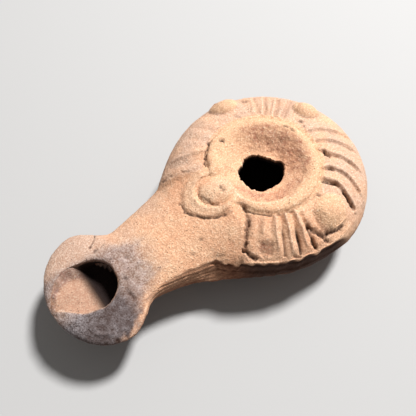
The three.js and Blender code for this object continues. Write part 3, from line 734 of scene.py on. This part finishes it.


# dirt and painted shade, share of the inside, and distance past the near edge, by the vertex's number
grimeAndShadeOf, insideOf, beyondOf = {}, {}, {}
wickHole = marks["wickHole"]
swell = marks["flankSwell"]
for v in work.verts:
    x, y, z = inMillimetres(v)
    outside = outsideShare(x, y, z)
    insideOf[v.index] = 1 - outside
    rough = skinLift(x, y, z) * coarseness(x, y) * mix(skin["inside"], 1, outside)
    flankLift, flankDirtAndShade = sideLift(x, y, z) if y > 6 and outside > 0 else (0, 0)
    rough += flankLift * outside
    if flankDirtAndShade > 0:
        grimeAndShadeOf[v.index] = flankDirtAndShade * outside
    weight = ease(v.normal.z, 0.12, 0.35) if onTop(v) and not inWickHole(x, y) else 0
    out, up, r, degrees = onShoulder(x, y, z)
    toCurve = 0
    if x < form["rootX"] and out > 0.8:
        inside = insidePlate(r, degrees, min(out, 1))
        toCurve = ease(out, *firedClay["seamBand"]) * ease(-inside, 0, 2)
        weight *= 1 - toCurve
    if weight > 0:
        height, dirtAndShade = sculptedHeight(x, y)
        v.co.z = mix(z, height, weight) / 1000
        grimeAndShadeOf[v.index] = max(dirtAndShade * weight, grimeAndShadeOf.get(v.index, 0))
    # near the seam the shoulder follows its plain curve, so that no groove cuts the outline
    if toCurve > 0 and up > 0:
        reach = math.hypot(out, up)
        foot, seam = rimFoot(degrees), form["seamHeight"]
        moved = mix(1, (foot + (outlineAt(degrees) - foot) * out / reach) / r, toCurve * outside)
        v.co.x *= moved
        v.co.y *= moved
        height = seam + (form["rimFootHeight"] - seam) * up / reach
        v.co.z = mix(v.co.z, height / 1000, toCurve * outside)
    # in front, the wick hole's floor is drawn to its climbing slope
    if x > 55.5 and z > 10 and inWickHole(x, y):
        forward = clamp((x - wickHole["x"]) / wickHole["run"])
        plain = mix(wickHole["plainFloor"], wickHole["plainEnd"], forward ** 1.3)
        if z > plain - 0.8:
            top = neckTop(x, y)
            height = clamp((z - plain) / max(top - plain, 0.3), -0.2, 1)
            v.co.z = mix(z, mix(wickFloor(x, y), top, height), ease(x, 55.5, 60)) / 1000
    if z > 0.4:  # the base stays flat
        v.co += v.normal * rough / 1000
    if z > 19 and 3 < r < 10:
        edge = along(firedClay["holeEdge"], degrees)
        crumbled = firedClay["crumbs"] * wobble(x, y, 0.5, 24.0) * (1 - ease(abs(r - edge), 0.4, 1.6))
        v.co.x += 0.001 * crumbled * x / r
        v.co.y += 0.001 * crumbled * y / r
    # the near flank stands steeply under its edge
    beyond = y - flankEdge(x)
    beyondOf[v.index] = beyond
    if beyond > 0 and z > 2:
        lowShare = along(marks["flankLow"], x)
        drawn = (1 - marks["flankShare"]) * mix(lowShare, 1, ease(z, 8, 16))
        v.co.y -= 0.001 * beyond * drawn * ease(x, -14, 2) * (1 - ease(x, 44, 50))
        swollen = bell(x, swell["x"], swell["over"]) * ease(z, 2, 6) * (1 - ease(z, 12, 16))
        v.co.y += 0.001 * swell["by"] * swollen
work.normal_update()
for face in work.faces:
    face.smooth = True
print("relief carved")

# how hollow or proud each place is, from the mesh itself, smoothed over its neighbours
neighbours = [[e.other_vert(v).index for e in v.link_edges] for v in work.verts]
hollow = []
for v in work.verts:
    around = Vector((0, 0, 0))
    for e in v.link_edges:
        around += e.other_vert(v).co
    hollow.append((around / len(v.link_edges) - v.co).dot(v.normal) / firedClay["voxel"])
for _ in range(3):
    means = [sum(hollow[j] for j in near) / len(near) for near in neighbours]
    hollow = [(own + mean) / 2 for own, mean in zip(hollow, means)]

# how strongly each tone of the clay shows, vertex by vertex; grime, stain and side also paint shade, within
# paints shade with smoke, and worn also paints highlight
tint = {
    "hollowGrimeAndShade": 0.75, "earGrimeAndShade": 0.65, "slopeGrimeAndShade": 0.4, "flankShade": 0.9, "rootWorn": 0.45,
    "soot": 0.75, "sootOver": (-4, 5.5), "sootPatch": 1.5, "sootFine": 1.4, "nearSootAndShade": 0.38,
    "bareEdge": 0.75, "bareLip": 0.6, "bareSlope": 0.5, "bareFarEar": 0.75,
    "neckSide": 0.55, "floorSide": 0.45, "farNeckPink": 0.6, "ribsLessPink": 0.85,
    "leftDishOchre": 0.8, "nearDishStainAndShade": 0.85, "hollowStainAndShade": 0.9,
}
shades = {name: [] for name in ("grimeAndShade", "worn", "soot", "pink", "ochre", "stainAndShade", "side", "within")}
for v in work.verts:
    x, y, z = inMillimetres(v)
    r, degrees, share = placeOf(x, y)
    top = ease(v.normal.z, 0.1, 0.4) * (1 - insideOf[v.index])
    patch = wobble(x, y, 5.0, 9.0)
    fine = wobble(x, y, 1.6, 12.0)

    # paler places: worn high places and the oval boss and crescent, partly painted highlight on proud
    # edges, and a painted highlight along the near side of the rim's step
    # darker in hollows and cracks, with dirt and painted shade
    grimeAndShade = grimeAndShadeOf.get(v.index, 0) + tint["hollowGrimeAndShade"] * ease(hollow[v.index], 0.06, 0.33)
    step = along(form["rimStep"], degrees)
    nearStep = facing(degrees, form["step"]["angle"], *form["step"]["span"])
    worn = bell(r, step + 0.4, 0.45) * nearStep if r < 15 else 0
    raised = ease(bossLift(x, y) + rootLift(x, y, smoothHeight(x, y)), 0.2, 1.0) if x < 30 else 0
    atRoot = raised * ease(x, 8, 12) * ease(-hollow[v.index], -0.2, -0.05)
    shades["worn"].append(max(worn, ease(-hollow[v.index], 0.02, 0.16), tint["rootWorn"] * atRoot))

    # soot lies round the wick hole, least on the far ear, and ends in a slanting line across the neck
    line = x - along(marks["sootLine"], y) + tint["sootPatch"] * patch + tint["sootFine"] * fine
    soot = tint["soot"] * ease(line, *tint["sootOver"])
    soot *= 1 - tint["bareFarEar"] * ease(-y - 0.15 * (x - 50) + 1.5 * patch, 5, 9)
    # more soot on the near ear, partly painted shade
    soot += tint["nearSootAndShade"] * ease(y, 0, 9) * ease(x, 49, 56)
    rimBare = 1 - ease(halfWidth(x) - y + 1.4 * fine, 1.2, 3.4)
    rimBare *= ease(x, 44, 48) * (1 - ease(x, 56, 62))
    soot *= 1 - tint["bareEdge"] * rimBare

    # the wick hole's floor was kept clean of it, and the broken slope along its far side is darker with
    # dirt and painted shade
    floorShare = brokenShare = 0
    if x > 54 and z > 10 and v.normal.z > 0 and wickGap(x, y) < 0.2:
        fromEdge = -wickGap(x, y) + 0.7 * fine
        floorShare = ease(fromEdge, 2.0, 3.4) if y < -0.9 else ease(fromEdge, 0, 0.5)
        brokenShare = (1 - floorShare) * ease(fromEdge, -0.2, 0.4) if y < -0.9 else 0
        grimeAndShade += tint["slopeGrimeAndShade"] * brokenShare * (0.7 + fine)
    # a clean thin lip runs round the hole's near side
    lip = bell(wickGap(x, y), 0, 0.4) * ease(y, -3, 2) if x > 48 and z > 15 else 0
    soot *= (1 - floorShare) * (1 - tint["bareLip"] * lip) * (1 - tint["bareSlope"] * brokenShare)
    shades["soot"].append(clamp(soot))
    # the near ear is darker with soot and dirt, and with painted shade
    if x > 46 and wickGap(x, y) > 0:
        nearEar = ease(y - 0.25 * (x - 52) + 2 * patch, 1, 8) * ease(x, 46, 53)
        grimeAndShade += tint["earGrimeAndShade"] * nearEar * (0.9 + 0.5 * fine) * (1 - 0.8 * rimBare) * (1 - lip)

    # painted shade: the side under the seam, where it faces down, and the near flank are darker, the neck's
    # flank less so
    below, flank = 1 - ease(z, 14.2, 15.8), 0
    if y > 6 and -12 < x < 50:
        flank = ease(beyondOf[v.index] + 0.25 * fine, 0, 0.7)
        flank *= ease(x, -12, -2) * (1 - ease(x, 45, 50))
    below *= ease(-v.normal.z, -0.8, -0.1) * mix(0.6, 1, ease(y, 5, 15))
    flank *= mix(1, tint["neckSide"], ease(x, 24, 30))
    side = (1 - insideOf[v.index]) * max(below, flank)
    shades["side"].append(max(side, tint["floorSide"] * floorShare))

    # the reservoir and the walls of both holes are black with lamp smoke and painted shade
    deep = smoothHeight(x, y) - z
    dark = 0
    if x > 48 and z > 9 and inWickHole(x, y):
        dark = (1 - ease(x, 57, 60)) * ease(deep, 0.8, 2.4)
    elif r < 9.5 and z > 17:
        dark = ease(deep, 0.3, 0.9)
    shades["within"].append(max(insideOf[v.index], dark))

    # the shoulder, the far side of the neck and the far ear are pinker
    onBody = 1 - ease(x, 26, 36)
    inside = insidePlate(r, degrees, share)
    shoulder = ease(r, 16.8, 18) * (1 - ease(inside, -0.5, 0.8)) * onBody
    farNeck = ease(-y, 2, 8) * ease(x, 22, 34)
    nearRibs = ease(degrees, 30, 42) * (1 - ease(degrees, 100, 125))
    pinker = shoulder * (1 - tint["ribsLessPink"] * nearRibs) + tint["farNeckPink"] * farNeck
    pink = top * pinker * (0.75 + 0.8 * patch)
    farEar = ease(-y, 4, 8) * ease(x, 44, 50)
    shades["pink"].append(clamp(max(pink, floorShare, farEar)))
    # painted shade: the body's near flank is darker still
    onBodyFlank = flank * (1 - ease(x, 18, 27)) * ease(z + 2 * patch, 5, 13)
    shades["grimeAndShade"].append(clamp(grimeAndShade + tint["flankShade"] * onBodyFlank * (1 - insideOf[v.index])))

    # ochre on the rim and on what stands up; a reddish stain, partly painted shade, on the dish's far wall
    # and near side, the broken slope and the square hollow
    rim = ease(r, 10, 13) * (1 - ease(r, 16.4, 17.4))
    leftDish = (1 - ease(r, 12, 14)) * facing(degrees, 300, 0.1, 0.8)
    ochre = max(rim, raised * onBody, tint["leftDishOchre"] * leftDish)
    shades["ochre"].append(clamp(top * ochre * (0.9 + 0.6 * patch)))
    stainAndShade = (1 - ease(r, 12.6, 14.2)) * facing(degrees, 195, 0.0, 0.8) * (0.8 + 0.9 * fine) * ease(r, 5, 9)
    nearDish = facing(degrees, 60, 0.2, 0.8) * ease(r, 7.5, 9.5) * (1 - ease(r, step - 0.8, step - 0.1))
    stainAndShade = max(stainAndShade, tint["nearDishStainAndShade"] * nearDish, brokenShare * (0.9 + fine))
    stainAndShade = max(stainAndShade, tint["hollowStainAndShade"] * squareHollow(x, y) * (0.7 + fine))
    shades["stainAndShade"].append(clamp(stainAndShade))

work.to_mesh(evenMesh)
work.free()
for name, values in shades.items():
    evenMesh.attributes.new(name, "FLOAT", "POINT").data.foreach_set("value", values)
print("shades laid", sum(len(p.vertices) - 2 for p in evenMesh.polygons))

# colours of the clay; grime, stain, side and within also serve as painted shade, and worn as painted
# highlight
clayTones = {
    "orange": (0.72, 0.385, 0.22), "sand": (0.75, 0.47, 0.29),
    "pink": (0.58, 0.395, 0.285), "ochre": (0.70, 0.44, 0.26), "worn": (0.80, 0.62, 0.47),
    "stainAndShade": (0.34, 0.15, 0.09), "grimeAndShade": (0.04, 0.018, 0.012),
    "soot": (0.08, 0.058, 0.053), "ash": (0.35, 0.31, 0.315),
    "side": (0.17, 0.066, 0.034), "scraped": (0.28, 0.125, 0.07), "within": (0.012, 0.006, 0.005),
    "patchScale": 110, "mottleScale": 520, "grainScale": 2300, "speckScale": 1500,
    "streakScale": 1300, "streakStretch": (0.08, 1, 1),
    "darkGrain": 0.5, "paleGrain": 0.5, "darkMottle": 0.3, "wornBy": 0.5, "speckBy": 0.6,
    "roughness": 0.88, "roughnessSpread": 0.08, "specular": 0.2, "grain": 0.0004, "grainStrength": 0.7,
}


def clayMaterial(name, tones):
    material = bpy.data.materials.new(name)
    material.use_nodes = True
    tree = material.node_tree
    nodes, links = tree.nodes, tree.links
    shader = nodes["Principled BSDF"]
    shader.inputs["Specular IOR Level"].default_value = tones["specular"]
    place = nodes.new("ShaderNodeTexCoord").outputs["Object"]

    def noiseAt(scale, detail, roughness, stretch=None):
        node = nodes.new("ShaderNodeTexNoise")
        node.inputs["Scale"].default_value = scale
        node.inputs["Detail"].default_value = detail
        node.inputs["Roughness"].default_value = roughness
        if stretch:
            mapping = nodes.new("ShaderNodeMapping")
            mapping.inputs["Scale"].default_value = stretch
            links.new(place, mapping.inputs["Vector"])
            links.new(mapping.outputs["Vector"], node.inputs["Vector"])
        else:
            links.new(place, node.inputs["Vector"])
        return node.outputs["Fac"]

    def spread(value, low, high, toLow=0.0, toHigh=1.0):
        node = nodes.new("ShaderNodeMapRange")
        numbers = {"From Min": low, "From Max": high, "To Min": toLow, "To Max": toHigh}
        for socket, number in numbers.items():
            node.inputs[socket].default_value = number
        links.new(value, node.inputs["Value"])
        return node.outputs["Result"]

    def shade(attribute):
        node = nodes.new("ShaderNodeAttribute")
        node.attribute_name = attribute
        return node.outputs["Fac"]

    def sums(kind, a, b):
        node = nodes.new("ShaderNodeMath")
        node.operation = kind
        for socket, value in zip(node.inputs, (a, b)):
            if isinstance(value, float):
                socket.default_value = value
            else:
                links.new(value, socket)
        return node.outputs["Value"]

    def blend(share, a, b, kind="MIX"):
        node = nodes.new("ShaderNodeMix")
        node.data_type = "RGBA"
        node.blend_type = kind
        links.new(share, node.inputs["Factor"])
        for socket, value in zip((node.inputs["A"], node.inputs["B"]), (a, b)):
            if isinstance(value, tuple):
                socket.default_value = (*value, 1)
            else:
                links.new(value, socket)
        return node.outputs["Result"]

    patches = noiseAt(tones["patchScale"], 4, 0.6)
    mottle = noiseAt(tones["mottleScale"], 5, 0.65)
    grain = noiseAt(tones["grainScale"], 3, 0.6)
    streaks = noiseAt(tones["streakScale"], 3, 0.6, tones["streakStretch"])
    specks = nodes.new("ShaderNodeTexVoronoi")
    specks.inputs["Scale"].default_value = tones["speckScale"]
    links.new(place, specks.inputs["Vector"])
    dots = spread(specks.outputs["Distance"], 0.1, 0.3, 1.0, 0.0)
    dots = sums("MULTIPLY", dots, spread(mottle, 0.5, 0.62))

    colour = blend(spread(patches, 0.35, 0.65), tones["orange"], tones["sand"])
    colour = blend(shade("pink"), colour, tones["pink"])
    colour = blend(shade("ochre"), colour, tones["ochre"])
    # reddish stain, partly painted shade in the dish, on the slope and in the hollow
    colour = blend(sums("MULTIPLY", shade("stainAndShade"), spread(mottle, 0.3, 0.6)), colour, tones["stainAndShade"])
    # paler worn and proud places, partly painted highlight
    colour = blend(sums("MULTIPLY", shade("worn"), tones["wornBy"]), colour, tones["worn"])
    colour = blend(spread(grain, 0.62, 0.38, 0.0, tones["darkGrain"]), colour, tones["stainAndShade"])
    colour = blend(spread(grain, 0.54, 0.68, 0.0, tones["paleGrain"]), colour, tones["worn"])
    colour = blend(spread(mottle, 0.46, 0.3, 0.0, tones["darkMottle"]), colour, tones["stainAndShade"])
    sooty = sums("ADD", sums("MULTIPLY", mottle, 0.5), sums("MULTIPLY", grain, 0.5))
    sooted = blend(spread(sooty, 0.4, 0.62), tones["soot"], tones["ash"])
    colour = blend(shade("soot"), colour, sooted)
    # painted shade on the side and the near flank, streaked with paler scraped marks
    scraped = blend(spread(streaks, 0.45, 0.65), tones["side"], tones["scraped"])
    colour = blend(shade("side"), colour, scraped)
    colour = blend(sums("MULTIPLY", dots, tones["speckBy"]), colour, tones["grimeAndShade"])
    # dirt in hollows and cracks, with painted shade, and painted shade on the ear, slope and flank
    grimeAndShadeShare = sums("MULTIPLY", shade("grimeAndShade"), spread(grain, 0.3, 0.5, 0.75, 1.0))
    colour = blend(grimeAndShadeShare, colour, tones["grimeAndShade"])
    # painted shade and lamp smoke inside the holes and the reservoir
    colour = blend(shade("within"), colour, tones["within"])
    links.new(colour, shader.inputs["Base Color"])
    smoother, rougher = (tones["roughness"] + sign * tones["roughnessSpread"] for sign in (-1, 1))
    links.new(spread(mottle, 0.3, 0.7, smoother, rougher), shader.inputs["Roughness"])

    # only the finest grain is bump, the rest is in the mesh
    bump = nodes.new("ShaderNodeBump")
    bump.inputs["Strength"].default_value = tones["grainStrength"]
    bump.inputs["Distance"].default_value = tones["grain"]
    links.new(sums("SUBTRACT", sums("ADD", grain, mottle), dots), bump.inputs["Height"])
    links.new(bump.outputs["Normal"], shader.inputs["Normal"])
    return material


clayLamp.data.materials.append(clayMaterial("firedClay", clayTones))
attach(clayLamp, "root")
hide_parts("lamp")
print("clay finished")

plainFloor = {"size": 3, "tone": (0.40, 0.395, 0.39, 1), "roughness": 0.9}
bpy.ops.mesh.primitive_plane_add(size=plainFloor["size"], location=(0, 0, 0))
floor = bpy.context.object
floor.name = "floor"
floorPaint = bpy.data.materials.new("paleFloor")
floorPaint.use_nodes = True
floorShader = floorPaint.node_tree.nodes["Principled BSDF"]
floorShader.inputs["Base Color"].default_value = plainFloor["tone"]
floorShader.inputs["Roughness"].default_value = plainFloor["roughness"]
floor.data.materials.append(floorPaint)

# close above the nozzle's end, as in the photograph
view = {
    "place": Vector((0.05818, 0.05198, 0.13928)), "target": Vector((0.01883, -0.00126, 0.018)),
    "lens": 41.53, "sensor": 36, "nearest": 0.005,
}
cameraData = bpy.data.cameras.new("camera")
cameraData.lens = view["lens"]
cameraData.sensor_width = view["sensor"]
cameraData.clip_start = view["nearest"]
camera = bpy.data.objects.new("camera", cameraData)
camera.location = view["place"]
camera.rotation_euler = (view["target"] - view["place"]).to_track_quat("-Z", "Y").to_euler()
scene.collection.objects.link(camera)
scene.camera = camera

studio = {
    "keyFrom": Vector((-0.53, -0.10, 0.89)), "keyDistance": 0.9, "keySize": 0.16, "keyPower": 15.9,
    "aim": Vector((0.02, 0, 0.015)), "fill": 0.24, "fillTone": (1, 0.98, 0.96, 1),
}
keyData = bpy.data.lights.new("key", "AREA")
keyData.shape = "DISK"
keyData.size = studio["keySize"]
keyData.energy = studio["keyPower"]
keyLight = bpy.data.objects.new("key", keyData)
keyLight.location = studio["keyFrom"].normalized() * studio["keyDistance"] + studio["aim"]
keyLight.rotation_euler = (-studio["keyFrom"]).to_track_quat("-Z", "Y").to_euler()
scene.collection.objects.link(keyLight)
world = bpy.data.worlds.new("studio")
world.use_nodes = True
world.node_tree.nodes["Background"].inputs["Color"].default_value = studio["fillTone"]
world.node_tree.nodes["Background"].inputs["Strength"].default_value = studio["fill"]
scene.world = world
scene.view_settings.view_transform = "Standard"
print("camera and light set")
